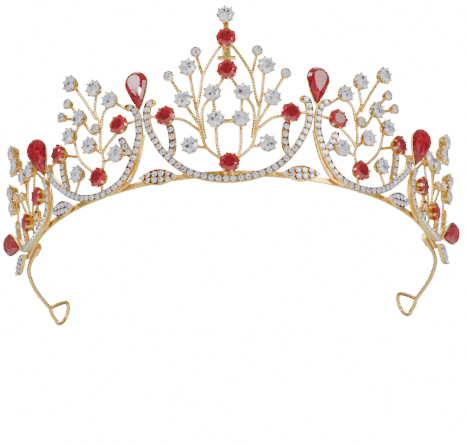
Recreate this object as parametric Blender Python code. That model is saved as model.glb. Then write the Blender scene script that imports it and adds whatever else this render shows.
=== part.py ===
"""A tiara: five openwork cast panels with red and clear stones on a flat base band, and two sprung wire arms.

Everything on the front of the tiara is laid out on one flared surface. A place on it has three numbers in
millimetres: s, the distance round the hoop from the middle of the front; h, the height up the flared surface;
n, how far it stands off the surface. Each half is drawn for +s, and SIDES makes its mirror.
"""

import math

import bmesh
import bpy
from mathutils import Vector

MM = 0.001
SIDES = {"right": 1, "left": -1}

# The hoop, seen from above: an arc of HOOP_RADIUS that opens out to TAIL_RADIUS beyond TAIL_START.
HOOP_RADIUS = 73.0
TAIL_RADIUS = 200.0
TAIL_START = 86.0
FLARE = math.radians(9.0)
HOOP_LINE = 2.3  # the h where the surface has the hoop's radius
HOOP_RISE = 2.8  # how high that line runs above the surface the tiara stands on
HOOP_SHIFT = 17.7  # the hoop's centre lies this far behind the middle of the tiara's bounding box

GAP = 0.3  # between pieces that touch

# The base band and the sockets behind its ends.
BAND_END = 103.0
BAND_LOW = 2.4
BAND_HEIGHT = 2.0
BAND_FRONT = -0.3
BAND_BACK = -1.3
SOCKET_START = 92.0
SOCKET_END = 99.0
SOCKET_BACK = -3.8
SOCKET_MIDDLE = 3.3
SOCKET_HEIGHT = 3.0

# The cast panels: pave channels, stems and the cups that hold the stones.
CHANNEL_WIDTH = 2.5
CHANNEL_DEPTH = 1.2
PAVE_WIDTH = 1.9
PAVE_DEPTH = 0.8
STEM_WIDTH = 1.2
STEM_DEPTH = 0.85
STEM_BACK = 0.11
STEM_STAGGER = 0.03  # the step between the levels that crossing stems lie on
STEM_LEVELS = 7
CUP_SIDES = 8
STONE_SIDES = 10
RED = {"stone": 6.4, "cup": 5.8, "foot": 3.0, "height": 2.3}
CLEAR = {"stone": 5.4, "cup": 4.8, "foot": 2.6, "height": 2.3}
BEZEL = {"stone": 3.0, "cup": 3.8, "foot": 2.6, "height": 1.9}
DROP_POST = {"cup": 2.0, "foot": 2.0, "height": 3.7}

# The teardrop stones on their seats.
DROP_LENGTH = 13.0
DROP_RADIUS = 3.8
DROP_RIM = 0.5
DROP_SEAT = 1.2
DROP_CROWN = 1.2
DROP_ARC_STEPS = 10

# The pave leaves.
LEAF_WIDTH = 5.4
LEAF_DEPTH = 1.6
LEAF_STEPS = 8

# The wire arms and the eyelets at their ends.
WIRE_RADIUS = 0.85
WIRE_SIDES = 6
WIRE_RISE = 4.2
EYELET_RADIUS = 4.5
EYELET_LENGTH = 11.0
EYELET_OPENING = 2.4  # how far the wire's end stops short of closing the eyelet
WIRE_TO_EYELET = 0.6  # the arm meets the eyelet this share of its radius below its middle
EYELET_LEAN = math.radians(24.0)
ARM_ROUTE = [(72.4, -7.0), (73.8, 0.0), (74.0, 8.0), (73.3, 18.0), (71.6, 28.0)]
ARM_END = (70.2, 34.8)


def surface(s, h, n=0.0):
    """The place (s, h, n) in metres, for either sign of s."""
    side = -1 if s < 0 else 1
    arc = min(abs(s), TAIL_START)
    turn = arc / HOOP_RADIUS
    centre = Vector((0.0, 0.0))
    radius = HOOP_RADIUS
    if abs(s) > TAIL_START:
        shift = TAIL_RADIUS - HOOP_RADIUS
        centre = Vector((-shift * math.sin(turn), shift * math.cos(turn)))
        turn += (abs(s) - TAIL_START) / TAIL_RADIUS
        radius = TAIL_RADIUS
    reach = radius + n * math.cos(FLARE) + (h - HOOP_LINE) * math.sin(FLARE)
    x = centre.x + reach * math.sin(turn)
    y = centre.y - reach * math.cos(turn) + HOOP_SHIFT
    z = HOOP_RISE + (h - HOOP_LINE) * math.cos(FLARE) - n * math.sin(FLARE)
    return Vector((side * x, y, z)) * MM


def outward(s):
    """The direction in which n grows."""
    return (surface(s, 0.0, 1.0) - surface(s, 0.0, 0.0)).normalized()


def curve_through(points, steps=3):
    """A smooth line through the points, as steps short lengths between each two (Catmull-Rom)."""
    ends = [tuple(2 * a - b for a, b in zip(points[0], points[1]))]
    ends.append(tuple(2 * a - b for a, b in zip(points[-1], points[-2])))
    knots = [ends[0], *points, ends[1]]
    line = [points[0]]
    for quad in zip(knots, knots[1:], knots[2:], knots[3:]):
        for step in range(1, steps + 1):
            t = step / steps
            weights = (
                (-t + 2 * t**2 - t**3) / 2,
                (2 - 5 * t**2 + 3 * t**3) / 2,
                (t + 4 * t**2 - 3 * t**3) / 2,
                (t**3 - t**2) / 2,
            )
            line.append(tuple(sum(w * knot[k] for w, knot in zip(weights, quad)) for k in range(len(quad[0]))))
    return line


def add_rings(mesh, rings):
    """Joins closed rings of equal length into one closed body and turns its faces outward."""
    loops = [[mesh.verts.new(place) for place in ring] for ring in rings]
    faces = [mesh.faces.new(loops[0][::-1]), mesh.faces.new(loops[-1])]
    for lower, upper in zip(loops, loops[1:]):
        for i in range(len(lower)):
            j = (i + 1) % len(lower)
            faces.append(mesh.faces.new((lower[i], lower[j], upper[j], upper[i])))
    bmesh.ops.recalc_face_normals(mesh, faces=faces)


def add_bar(mesh, line, width, low, high):
    """A flat bar along a line of (s, h) places, from n = low to n = high."""
    places = [surface(s, h, low) for s, h in line]
    rings = []
    for i, (s, h) in enumerate(line):
        ahead = (places[min(i + 1, len(line) - 1)] - places[i]).normalized()
        behind = (places[i] - places[max(i - 1, 0)]).normalized()
        along = (ahead + behind).normalized()
        normal = outward(s)
        across = along.cross(normal).normalized() * (width / 2 * MM)
        top = surface(s, h, high) - places[i]
        foot = places[i]
        rings.append([foot - across, foot + across, foot + across + top, foot - across + top])
    add_rings(mesh, rings)


def add_tube(mesh, places, radius, sides):
    """A round wire along places in metres."""
    rings = []
    up = Vector((0, 0, 1))
    for i, place in enumerate(places):
        ahead = places[min(i + 1, len(places) - 1)] - place
        behind = place - places[max(i - 1, 0)]
        along = (ahead.normalized() + behind.normalized()).normalized()
        across = along.cross(up).normalized()
        up = across.cross(along).normalized()
        turns = [2 * math.pi * k / sides for k in range(sides)]
        rings.append([place + (across * math.cos(t) + up * math.sin(t)) * radius * MM for t in turns])
    add_rings(mesh, rings)


def round_ring(s, h, n, radius, sides):
    """Places round a circle that faces outward at (s, h, n)."""
    middle = surface(s, h, n)
    normal = outward(s)
    across = Vector((0, 0, 1)).cross(normal).normalized()
    up = normal.cross(across)
    turns = [2 * math.pi * (k + 0.5) / sides for k in range(sides)]
    return [middle + (across * math.cos(t) + up * math.sin(t)) * radius * MM for t in turns]


def add_cup(mesh, s, h, kind):
    """The solid cup under a round stone, wider at its mouth."""
    foot = round_ring(s, h, -0.1, kind["foot"] / 2, CUP_SIDES)
    mouth = round_ring(s, h, kind["height"], kind["cup"] / 2, CUP_SIDES)
    add_rings(mesh, [foot, mouth])


def add_stone(mesh, s, h, kind):
    """A round faceted stone over its cup: a short pavilion, the girdle, the crown and the table."""
    size = kind["stone"] / 2
    low = kind["height"] + GAP
    heights = [(0.0, 0.84), (0.45, 1.0), (0.75, 1.0), (1.5, 0.6)]
    add_rings(mesh, [round_ring(s, h, low + rise, size * share, STONE_SIDES) for rise, share in heights])


def drop_outline(offset):
    """The teardrop's outline grown by offset: its tip near (0, 0) and its round end up the second axis."""
    radius = DROP_RADIUS + offset
    centre = DROP_LENGTH - DROP_RADIUS
    half_tip = math.asin(DROP_RADIUS / centre)
    tip = -offset / math.sin(half_tip)
    start = -half_tip
    sweep = math.pi + 2 * half_tip
    outline = []
    for step in range(DROP_ARC_STEPS + 1):
        turn = start + sweep * step / DROP_ARC_STEPS
        outline.append((radius * math.cos(turn), centre + radius * math.sin(turn)))
    outline.append((0.0, tip))
    return outline


def leaf_outline(length, width):
    """A pointed leaf between two equal arcs, its length along the first axis."""
    outline = []
    for edge in (-1, 1):
        for step in range(LEAF_STEPS):
            t = step / LEAF_STEPS
            along = length * (t - 0.5) * -edge
            outline.append((along, edge * width / 2 * math.sin(math.pi * t)))
    return outline


def new_object(name, mesh, material):
    """One named object from a bmesh."""
    bmesh.ops.triangulate(mesh, faces=[face for face in mesh.faces if len(face.verts) > 4])
    data = bpy.data.meshes.new(name)
    mesh.to_mesh(data)
    mesh.free()
    data.materials.append(material)
    part = bpy.data.objects.new(name, data)
    bpy.context.collection.objects.link(part)
    return part


def material(name, colour, metallic, roughness):
    found = bpy.data.materials.get(name) or bpy.data.materials.new(name)
    found.use_nodes = True
    shader = found.node_tree.nodes["Principled BSDF"]
    shader.inputs["Base Color"].default_value = (*colour, 1.0)
    shader.inputs["Metallic"].default_value = metallic
    shader.inputs["Roughness"].default_value = roughness
    return found


def gold():
    return material("gold_plate", (0.83, 0.55, 0.16), 1.0, 0.22)


def ruby():
    return material("red_stone", (0.55, 0.0, 0.03), 0.0, 0.08)


def crystal():
    return material("clear_stone", (0.85, 0.85, 0.9), 0.0, 0.05)


# The panels. Each is drawn on +s; its stones are (kind, s, h) and its stems are lines of (s, h).

CENTRE_CHANNEL = [(22.3, 29.9), (24.5, 29.4), (25.4, 26.6), (25.4, 23.4), (24.3, 19.0), (20.3, 11.3)]
CENTRE_CHANNEL += [(14.0, 5.0), (7.0, 1.9), (0.0, 1.0)]
CENTRE_MIDDLE = {"top": (CLEAR, 57.3), "upper": (RED, 49.0), "middle": (RED, 37.7), "bottom": (RED, 5.9)}
CENTRE_SIDE = {
    "side": (RED, 18.9, 23.7),
    "pair_upper": (CLEAR, 4.5, 29.9),
    "pair_lower": (CLEAR, 3.8, 20.8),
    "shoulder_upper": (CLEAR, 11.5, 39.5),
    "shoulder_lower": (CLEAR, 13.3, 28.5),
    "foot": (CLEAR, 11.8, 12.6),
}
CENTRE_BEZELS = [(9.0, 44.9), (17.5, 37.6)]
CENTRE_BRANCH = [(19.6, 10.0), (17.8, 12.6), (17.7, 17.6), (18.4, 21.5)]
CENTRE_STEMS = [
    [(0.8, 48.0), (2.4, 46.0), (5.1, 41.5), (7.4, 36.5), (8.3, 31.0), (9.4, 26.0)],
    [(11.3, 39.0), (10.5, 31.0), (9.4, 23.5), (8.5, 17.0), (6.6, 11.6), (1.5, 7.0)],
    [(9.0, 44.0), (7.5, 37.5)],
    [(17.0, 36.5), (13.8, 30.0)],
    [(5.0, 29.5), (7.6, 25.8), (8.0, 21.0), (7.2, 15.0)],
    [(3.9, 20.0), (3.6, 12.0), (2.3, 7.0)],
    [(18.0, 23.5), (13.5, 22.0), (8.8, 17.8)],
    [(13.0, 27.5), (9.3, 20.5)],
    [(11.0, 12.8), (6.8, 11.9)],
    [(0.5, 37.0), (4.2, 30.5)],
    [(4.5, 29.5), (3.8, 21.2)],
    [(19.5, 24.0), (25.0, 25.5)],
]
CENTRE_MIDDLE_STEMS = [
    (2.2, [(0.0, 57.0), (0.0, 49.5)]),
    (3.0, [(0.0, 48.5), (0.0, 38.0)]),
    (1.6, [(-2.8, 42.8), (2.8, 42.8)]),
    (1.6, [(-3.5, 20.8), (3.5, 20.8)]),
    (2.2, [(0.0, 5.5), (0.0, 1.5)]),
]

FLANK = {
    "channel": [
        (32.6, 30.0), (30.2, 29.5), (28.6, 26.4), (28.3, 22.0), (28.6, 18.5), (31.2, 11.4),
        (36.3, 5.0), (45.0, 2.9), (54.2, 5.4), (62.0, 11.8), (66.6, 17.6), (67.6, 23.0),
    ],
    "ribbon": [(27.0, 19.5), (28.2, 14.6), (29.6, 10.5), (31.6, 6.6), (34.0, 4.0), (38.0, 2.6)],
    "reds": {"inner": (34.3, 24.2), "outer": (59.4, 22.8), "bottom": (43.4, 8.5)},
    "clears": [
        (51.2, 45.2), (42.2, 39.8), (36.8, 33.8), (48.9, 31.7), (53.8, 27.0), (45.9, 20.6),
        (36.3, 14.6), (52.1, 12.7),
    ],
    "bezels": [(53.7, 39.0), (57.0, 35.4), (43.3, 25.9)],
    "posts": [(67.2, 21.5)],
    "branches": [
        [(34.9, 20.5), (33.9, 17.6), (31.5, 12.8)],
        [(59.6, 21.0), (59.9, 17.0), (58.8, 9.5)],
    ],
    "stems": [
        [(43.4, 9.5), (42.2, 14.5), (42.9, 20.0), (42.3, 27.5), (43.8, 32.5), (42.5, 39.0)],
        [(51.0, 44.5), (47.0, 37.0), (43.8, 30.0)],
        [(37.2, 33.0), (40.5, 31.0), (42.0, 26.0)],
        [(48.9, 31.0), (46.2, 26.0), (44.0, 24.5)],
        [(53.7, 38.5), (49.5, 32.5)],
        [(56.5, 35.0), (49.2, 31.4)],
        [(48.9, 32.0), (53.6, 27.2)],
        [(53.8, 26.5), (52.0, 18.5), (48.0, 13.3), (44.0, 9.5)],
        [(59.0, 22.5), (55.0, 20.6), (52.3, 19.4)],
        [(45.8, 20.2), (42.8, 17.5)],
        [(34.8, 23.5), (40.8, 19.0), (42.6, 16.5)],
        [(36.8, 14.8), (42.3, 14.0)],
        [(52.0, 12.5), (56.0, 6.5)],
        [(43.4, 8.0), (44.0, 3.5)],
        [(37.0, 34.0), (32.6, 30.2)],
        [(34.3, 24.5), (28.8, 25.0)],
        [(59.5, 22.5), (67.2, 21.5)],
        [(36.0, 14.4), (30.2, 14.0)],
    ],
}

OUTER = {
    "channel": [
        (71.8, 19.6), (70.3, 17.2), (69.8, 13.0), (71.2, 8.2), (75.0, 4.6), (82.0, 3.0),
        (90.0, 3.1), (97.0, 4.4), (102.3, 8.0), (104.5, 13.0), (104.0, 18.6),
    ],
    "ribbon": [(68.5, 14.5), (68.3, 11.5), (69.0, 8.0), (71.5, 4.4), (75.5, 2.4)],
    "reds": {"inner": (74.2, 13.9), "bottom": (86.0, 9.5)},
    "clears": [(93.0, 40.0), (91.0, 34.3), (84.0, 26.2), (77.5, 25.5), (101.0, 28.5), (101.5, 22.6)],
    "bezels": [(98.5, 35.4), (89.8, 21.4), (97.0, 24.6)],
    "posts": [],
    "branches": [
        [(78.9, 11.0), (78.8, 8.0), (80.0, 3.6)],
        [(94.0, 14.0), (94.4, 10.0), (93.2, 4.4)],
    ],
    "stems": [
        [(86.0, 9.0), (87.5, 15.0), (87.2, 24.0), (89.5, 31.0), (92.6, 39.5)],
        [(91.0, 34.0), (93.0, 39.5)],
        [(84.2, 25.8), (87.4, 20.5)],
        [(77.8, 25.0), (80.5, 19.0), (85.4, 10.3)],
        [(77.5, 25.5), (72.2, 19.2)],
        [(98.2, 35.0), (91.5, 34.5)],
        [(89.8, 21.0), (87.5, 16.0)],
        [(100.8, 28.2), (96.9, 24.8), (92.0, 17.0), (86.5, 10.0)],
        [(101.2, 22.4), (97.2, 24.4)],
        [(101.5, 22.5), (103.8, 18.4)],
        [(73.9, 13.5), (79.0, 12.6), (85.5, 9.4)],
        [(86.0, 9.0), (85.5, 4.0)],
        [(74.0, 14.0), (70.6, 14.5)],
        [(94.0, 13.6), (89.5, 12.5), (87.0, 10.4)],
        [(78.9, 10.6), (79.0, 13.2)],
    ],
}

# How many lengths of the channel the teardrop beside it covers.
PAVE_STOPS = {"flank": 3, "outer": 0}

# The teardrops: where the tip is, how far the axis leans toward +s and tips outward, and how far the face
# turns to the front about that axis, in degrees.
DROPS = {
    "front": {"tip": (27.0, 27.8, 1.5), "lean": 3.0, "tilt": 0.0, "roll": 0.0},
    "flank": {"tip": (65.6, 17.6, 3.6), "lean": 5.0, "tilt": 9.0, "roll": 20.0},
    "rear": {"tip": (93.1, 3.1, 2.8), "lean": 59.0, "tilt": 7.0, "roll": 0.0},
}

# The leaves: the middle, the length, and how steeply its axis climbs toward +s.
LEAVES = {
    "front": {"middle": (23.0, 4.0), "length": 13.4, "slope": 6.0},
    "flank": {"middle": (62.8, 4.6), "length": 11.6, "slope": 9.0},
    "rear": {"middle": (108.5, 3.4), "length": 19.0, "slope": 0.0},
}


def build_casting(name, channels, stems, cups):
    """One cast panel: its main channel, united with every branch, stem and cup that overlaps it."""
    body = bmesh.new()
    add_bar(body, channels[0], CHANNEL_WIDTH, 0.0, CHANNEL_DEPTH)
    casting = new_object(name, body, gold())
    pieces = bmesh.new()
    for line in channels[1:]:
        add_bar(pieces, line, CHANNEL_WIDTH, 0.1, CHANNEL_DEPTH - 0.1)
    for number, (width, line) in enumerate(stems, 1):
        low = STEM_BACK + STEM_STAGGER * (number % STEM_LEVELS)
        add_bar(pieces, line, width, low, low + STEM_DEPTH)
    for kind, s, h in cups:
        add_cup(pieces, s, h, kind)
    cutter = new_object(name + "_pieces", pieces, gold())
    cutter.hide_render = True
    cutter.display_type = "WIRE"
    union = casting.modifiers.new("union", "BOOLEAN")
    union.operation = "UNION"
    union.solver = "EXACT"
    union.use_self = True
    union.object = cutter
    return casting


def build_stone(name, kind, s, h, colour):
    mesh = bmesh.new()
    add_stone(mesh, s, h, kind)
    return new_object(name, mesh, colour)


def build_pave(name, line):
    """The row of small stones along a channel, as one strip."""
    mesh = bmesh.new()
    low = CHANNEL_DEPTH + GAP
    add_bar(mesh, line, PAVE_WIDTH, low, low + PAVE_DEPTH)
    return new_object(name, mesh, crystal())


def mirrored(line, side):
    return [(side * s, h) for s, h in line]


def build_centre():
    half = curve_through(CENTRE_CHANNEL)
    channel = half + mirrored(half[-2::-1], -1)
    channels = [channel]
    stems = list(CENTRE_MIDDLE_STEMS)
    cups = [(kind, 0.0, h) for kind, h in CENTRE_MIDDLE.values()]
    for side in SIDES.values():
        channels.append(mirrored(curve_through(CENTRE_BRANCH, 2), side))
        stems += [(STEM_WIDTH, mirrored(line, side)) for line in CENTRE_STEMS]
        cups += [(kind, side * s, h) for kind, s, h in CENTRE_SIDE.values()]
        cups += [(BEZEL, side * s, h) for s, h in CENTRE_BEZELS]
    build_casting("centre_panel_casting", channels, stems, cups)
    build_pave("centre_pave_row", channel)
    for place, (kind, h) in CENTRE_MIDDLE.items():
        colour = ruby() if kind is RED else crystal()
        build_stone(f"centre_{place}_stone", kind, 0.0, h, colour)
    for name, side in SIDES.items():
        for place, (kind, s, h) in CENTRE_SIDE.items():
            colour = ruby() if kind is RED else crystal()
            build_stone(f"centre_{place}_stone_{name}", kind, side * s, h, colour)


def build_side_panel(label, name, side, design):
    """A flank or outer panel on one side of the tiara."""
    main = mirrored(curve_through(design["channel"]), side)
    channels = [main, *(mirrored(line, side) for line in design["branches"])]
    bars = [(STEM_WIDTH, mirrored(line, side)) for line in [*design["stems"], design["ribbon"]]]
    cups = [(RED, side * s, h) for s, h in design["reds"].values()]
    cups += [(CLEAR, side * s, h) for s, h in design["clears"]]
    cups += [(BEZEL, side * s, h) for s, h in design["bezels"]]
    cups += [(DROP_POST, side * s, h) for s, h in design["posts"]]
    build_casting(f"{label}_panel_casting_{name}", channels, bars, cups)
    build_pave(f"{label}_pave_row_{name}", main[: len(main) - PAVE_STOPS[label]])
    for place, (s, h) in design["reds"].items():
        build_stone(f"{label}_{place}_red_stone_{name}", RED, side * s, h, ruby())


def drop_frame(side, tip, lean, tilt, roll):
    """The origin of a teardrop and its axes: across, up to the round end, and outward."""
    s, h, n = tip
    origin = surface(side * s, h, n)
    up = (surface(side * s, h + 1.0, n) - origin).normalized()
    along = (surface(side * (s + 0.1), h, n) - origin).normalized()
    normal = outward(side * s)
    lean, tilt, roll = math.radians(lean), math.radians(tilt), math.radians(roll)
    axis = up * math.cos(lean) + along * math.sin(lean)
    axis = (axis * math.cos(tilt) + normal * math.sin(tilt)).normalized()
    normal = (normal - axis * normal.dot(axis)).normalized()
    normal = (normal * math.cos(roll) - axis.cross(normal) * side * math.sin(roll)).normalized()
    return origin, axis.cross(normal), axis, normal


def drop_ring(frame, offset, rise):
    origin, across, axis, normal = frame
    return [origin + (across * u + axis * v + normal * rise) * MM for u, v in drop_outline(offset)]


def build_drop(label, name, side, tip, lean, tilt, roll):
    """A teardrop stone and the solid seat that carries it."""
    frame = drop_frame(side, tip, lean, tilt, roll)
    seat = bmesh.new()
    add_rings(seat, [drop_ring(frame, -0.9, 0.0), drop_ring(frame, DROP_RIM, DROP_SEAT)])
    new_object(f"{label}_drop_cup_{name}", seat, gold())
    stone = bmesh.new()
    low = DROP_SEAT + GAP
    rings = [(-0.6, low), (0.0, low + 0.3), (0.0, low + 0.6), (-1.7, low + 0.6 + DROP_CROWN)]
    add_rings(stone, [drop_ring(frame, offset, rise) for offset, rise in rings])
    new_object(f"{label}_drop_stone_{name}", stone, ruby())


def build_leaf(name, side, middle, length, slope):
    """A pave leaf that follows the surface."""
    mesh = bmesh.new()
    climb = math.radians(slope)
    rings = []
    for n in (0.0, LEAF_DEPTH):
        ring = []
        for along, across in leaf_outline(length, LEAF_WIDTH):
            s = middle[0] + along * math.cos(climb) - across * math.sin(climb)
            h = middle[1] + along * math.sin(climb) + across * math.cos(climb)
            ring.append(surface(side * s, h, n))
        rings.append(ring)
    add_rings(mesh, rings)
    new_object(name, mesh, gold())


def build_band():
    steps = 60
    middle = BAND_LOW + BAND_HEIGHT / 2
    line = [(BAND_END * (2 * i / steps - 1), middle) for i in range(steps + 1)]
    mesh = bmesh.new()
    add_bar(mesh, line, BAND_HEIGHT, BAND_BACK, BAND_FRONT)
    new_object("base_band", mesh, gold())


def build_socket(name, side):
    """The block soldered behind the band's end, in which the wire arm is fixed."""
    mesh = bmesh.new()
    steps = 3
    length = SOCKET_END - SOCKET_START
    line = [(side * (SOCKET_START + length * i / steps), SOCKET_MIDDLE) for i in range(steps + 1)]
    add_bar(mesh, line, SOCKET_HEIGHT, SOCKET_BACK, BAND_BACK - GAP)
    new_object(f"arm_socket_{name}", mesh, gold())


def arm_places(side):
    """The middle line of a wire arm with its drop-shaped eyelet, in metres."""
    root = surface(SOCKET_END + GAP, SOCKET_MIDDLE, (SOCKET_BACK + BAND_BACK - GAP) / 2) / MM
    route = [(root.x, root.y - HOOP_SHIFT), *ARM_ROUTE, ARM_END]
    places = [Vector((x, y + HOOP_SHIFT, WIRE_RISE)) for x, y in curve_through(route)]
    end = places[-1]
    along = (end - places[-2]).normalized()
    up = Vector((-math.sin(EYELET_LEAN), 0.0, math.cos(EYELET_LEAN)))
    rise = WIRE_TO_EYELET * EYELET_RADIUS
    centre = end + along * EYELET_LENGTH + up * rise
    reach = math.hypot(EYELET_LENGTH, rise)
    open_half = math.acos(EYELET_RADIUS / reach)
    steps = 14
    arc = 2 * (math.pi - open_half)
    for i in range(steps + 1):
        turn = arc * (i / steps - 0.5)
        places.append(centre + (along * math.cos(turn) + up * math.sin(turn)) * EYELET_RADIUS)
    back = end - places[-1]
    places.append(places[-1] + back * (1 - EYELET_OPENING / back.length))
    return [Vector((side * p.x, p.y, p.z)) * MM for p in places]


def build_arm(name, side):
    """A sprung wire arm. Its origin is at the root, on the axis it flexes about."""
    places = arm_places(side)
    root = places[0].copy()
    mesh = bmesh.new()
    add_tube(mesh, [place - root for place in places], WIRE_RADIUS, WIRE_SIDES)
    arm = new_object(f"wire_arm_{name}", mesh, gold())
    arm.location = root
    arm.data.shade_smooth()


def main():
    for old in list(bpy.data.objects):
        bpy.data.objects.remove(old)
    build_band()
    build_centre()
    for name, side in SIDES.items():
        build_side_panel("flank", name, side, FLANK)
        build_side_panel("outer", name, side, OUTER)
        for label, drop in DROPS.items():
            build_drop(label, name, side, **drop)
        for label, leaf in LEAVES.items():
            build_leaf(f"{label}_leaf_{name}", side, **leaf)
        build_socket(name, side)
        build_arm(name, side)


main()
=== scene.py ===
"""The tiara's looks: gilt castings, settings, faceted stones, pave rows, teardrops, leaves and wire arms.

Places on the front of the tiara are (s, h, n) in millimetres: s is the distance round the hoop from the
middle of the front, h the height up the flared surface, and n how far a place stands off the surface.
"""

import math
import random

import bmesh
import bpy
from mathutils import Matrix, Vector


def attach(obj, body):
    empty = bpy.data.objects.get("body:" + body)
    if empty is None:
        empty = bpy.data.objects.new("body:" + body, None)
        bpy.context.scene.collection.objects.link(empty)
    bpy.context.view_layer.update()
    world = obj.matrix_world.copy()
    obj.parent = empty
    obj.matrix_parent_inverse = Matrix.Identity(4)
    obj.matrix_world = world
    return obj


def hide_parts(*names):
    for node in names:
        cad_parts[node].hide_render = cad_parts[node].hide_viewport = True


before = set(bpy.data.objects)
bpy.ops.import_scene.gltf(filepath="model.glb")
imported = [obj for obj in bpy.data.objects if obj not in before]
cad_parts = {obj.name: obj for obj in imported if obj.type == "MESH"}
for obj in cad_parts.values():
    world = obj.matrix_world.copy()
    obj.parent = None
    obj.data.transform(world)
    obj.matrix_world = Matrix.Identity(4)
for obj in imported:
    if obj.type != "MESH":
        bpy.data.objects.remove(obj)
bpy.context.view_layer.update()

MM = 0.001
SIDES = {"right": 1, "left": -1}
TAU = 2 * math.pi

# The hoop, seen from above: an arc of HOOP_RADIUS that opens out to TAIL_RADIUS beyond TAIL_START.
HOOP_RADIUS = 73.0
TAIL_RADIUS = 200.0
TAIL_START = 86.0
FLARE = math.radians(9.0)
HOOP_LINE = 2.3
HOOP_RISE = 2.8
HOOP_SHIFT = 17.7

# The base band and the sockets behind its ends.
BAND_END = 103.0
BAND_MIDDLE = 3.4
SOCKET_START = 92.0
SOCKET_END = 99.0
SOCKET_MIDDLE = 3.3
SOCKET_DEPTH = -2.7

# Round stones in their settings: "stone", "cup" and "reach" are radii, of the stone, of its cup's mouth and of
# the claws where they hold it. "girdle", "table" and "height" are how far those stand off the surface.
RED = {"stone": 3.3, "girdle": 3.1, "table": 4.15, "cup": 2.95, "height": 2.7, "claws": 8, "reach": 3.4}
CLEAR = {"stone": 2.72, "girdle": 3.05, "table": 4.0, "cup": 2.5, "height": 2.6, "claws": 8, "reach": 2.95}
BEZEL = {"stone": 1.55, "girdle": 2.05, "table": 2.75}

PAVE_PITCH = 2.35
PAVE_STONE = 1.1
PAVE_GIRDLE = 1.5
PAVE_TABLE = 2.0
PAVE_BEAD = 0.24
CHANNEL_HALF = 1.25
STEM_WIDTH = 1.2
STEM_MIDDLE = 0.6
TWIST_STEP = 0.24
TWIST_PITCH = 0.96
TWIST_SWELL = 0.13

# The plain post under a flank teardrop, as (radius, n).
POST_PROFILE = [(1.1, 0.0), (1.0, 0.6), (0.85, 1.6), (0.8, 3.4), (1.0, 4.0)]

# The teardrop stones in their rim cups.
DROP_LENGTH = 13.0
DROP_RADIUS = 3.8

# The wire arms and the eyelets at their ends.
WIRE_RADIUS = 0.85
WIRE_RISE = 4.2
EYELET_RADIUS = 4.5
EYELET_LENGTH = 11.0
EYELET_LEAN = math.radians(24.0)
WIRE_TO_EYELET = 0.6
EYELET_BULGE = 0.5
ARM_ROUTE = [(72.4, -7.0), (73.8, 0.0), (74.0, 8.0), (73.3, 18.0), (71.6, 28.0)]
ARM_END = (70.2, 34.8)

LIKE_STONES = random.Random(11)


def surface(s, h, n=0.0):
    """The place (s, h, n) in metres, for either sign of s."""
    side = -1 if s < 0 else 1
    arc = min(abs(s), TAIL_START)
    turn = arc / HOOP_RADIUS
    centre = Vector((0.0, 0.0))
    radius = HOOP_RADIUS
    if abs(s) > TAIL_START:
        shift = TAIL_RADIUS - HOOP_RADIUS
        centre = Vector((-shift * math.sin(turn), shift * math.cos(turn)))
        turn += (abs(s) - TAIL_START) / TAIL_RADIUS
        radius = TAIL_RADIUS
    reach = radius + n * math.cos(FLARE) + (h - HOOP_LINE) * math.sin(FLARE)
    x = centre.x + reach * math.sin(turn)
    y = centre.y - reach * math.cos(turn) + HOOP_SHIFT
    z = HOOP_RISE + (h - HOOP_LINE) * math.cos(FLARE) - n * math.sin(FLARE)
    return Vector((side * x, y, z)) * MM


def outward(s):
    """The direction in which n grows."""
    return (surface(s, 0.0, 1.0) - surface(s, 0.0, 0.0)).normalized()


def curve_through(points, steps):
    """A smooth line through the points, as steps short lengths between each two (Catmull-Rom)."""
    first = tuple(2 * a - b for a, b in zip(points[0], points[1]))
    last = tuple(2 * a - b for a, b in zip(points[-1], points[-2]))
    knots = [first, *points, last]
    line = [tuple(points[0])]
    for quad in zip(knots, knots[1:], knots[2:], knots[3:]):
        for step in range(1, steps + 1):
            t = step / steps
            weights = (
                (-t + 2 * t**2 - t**3) / 2,
                (2 - 5 * t**2 + 3 * t**3) / 2,
                (t + 4 * t**2 - 3 * t**3) / 2,
                (t**3 - t**2) / 2,
            )
            axes = range(len(quad[0]))
            line.append(tuple(sum(w * knot[k] for w, knot in zip(weights, quad)) for k in axes))
    return line


def spaced(line, pitch, whole=False):
    """Places about pitch mm apart along a smooth line of (s, h) places, ends included.

    With whole, the places are the middles of equal lengths instead.
    """
    fine = curve_through(line, 12)
    solid = [surface(s, h, 1.0) / MM for s, h in fine]
    travelled = [0.0]
    for a, b in zip(solid, solid[1:]):
        travelled.append(travelled[-1] + (b - a).length)
    count = max(1, round(travelled[-1] / pitch))
    wanted = [travelled[-1] * k / count for k in range(count + 1)]
    if whole:
        wanted = [travelled[-1] * (k + 0.5) / count for k in range(count)]
    places = []
    i = 0
    for distance in wanted:
        while i < len(fine) - 2 and travelled[i + 1] < distance:
            i += 1
        share = (distance - travelled[i]) / max(travelled[i + 1] - travelled[i], 1e-9)
        share = min(max(share, 0.0), 1.0)
        places.append(tuple(a + (b - a) * share for a, b in zip(fine[i], fine[i + 1])))
    return places


def mirrored(line, side):
    return [(side * s, h) for s, h in line]


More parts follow.
